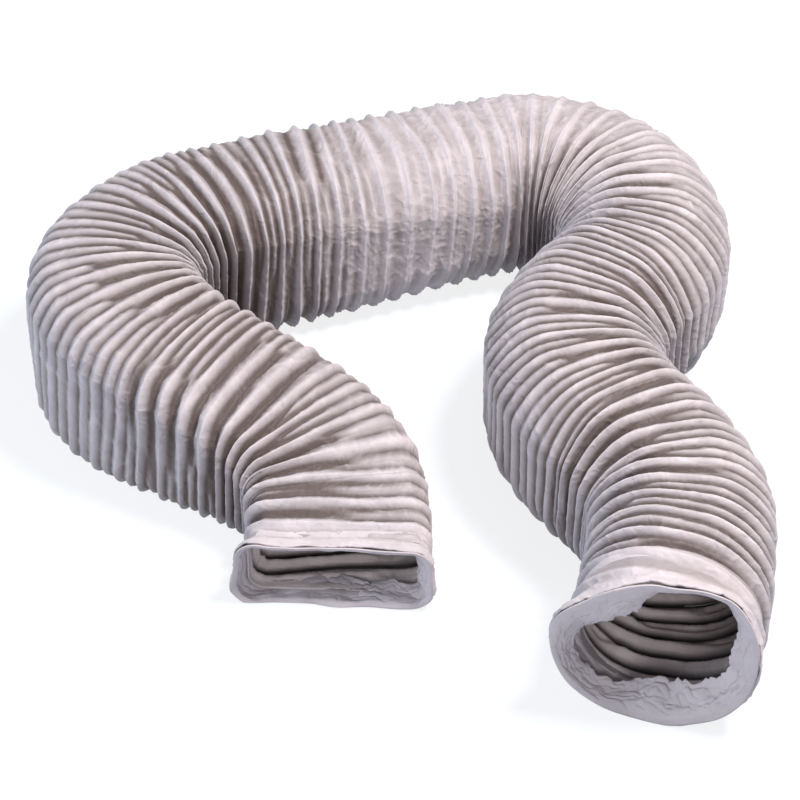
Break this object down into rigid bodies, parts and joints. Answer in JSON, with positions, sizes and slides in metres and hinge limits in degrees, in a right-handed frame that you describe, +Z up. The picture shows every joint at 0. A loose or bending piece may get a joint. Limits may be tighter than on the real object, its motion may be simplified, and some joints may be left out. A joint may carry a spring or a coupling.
{
  "type": "flexible air duct",
  "caption": "Flexible duct of ribbed coated cloth on a spring wire, lying in an S on a floor, with a round mouth and a flattened mouth.",
  "frame": {"origin": "on the floor, under the middle of the space that the laid duct takes up", "axes": "+Z up from the floor; both mouths open towards -Y; the round mouth is on the +X side"},
  "size_m": [0.4574, 0.5239, 0.1095],
  "materials": {
    "cloth": "coated cloth, satin",
    "wire": "drawn",
    "cuff_cloth": "coated cloth, satin",
    "cuff_lining": "coated cloth, matt"
  },
  "bodies": {
    "duct": {"duct_cover": "cloth", "spring_wire": "wire"},
    "round_mouth": {"round_cuff": "cuff_cloth", "round_cuff_facing": "cuff_lining"},
    "flat_mouth": {"flat_cuff": "cuff_cloth", "flat_cuff_facing": "cuff_lining"}
  },
  "joints": [
    {"name": "round_end_stretch", "type": "slide", "parent": "duct", "child": "round_mouth", "axis": [-0.2688, -0.9632, 0], "range_m": [-0.03, 0.02], "stiffness_N_per_m": 50, "deforming": ["duct_cover", "spring_wire"]},
    {"name": "flat_end_stretch", "type": "slide", "parent": "duct", "child": "flat_mouth", "axis": [-0.0739, -0.9973, 0], "range_m": [-0.02, 0.015], "stiffness_N_per_m": 50, "deforming": ["duct_cover", "spring_wire"]}
  ]
}
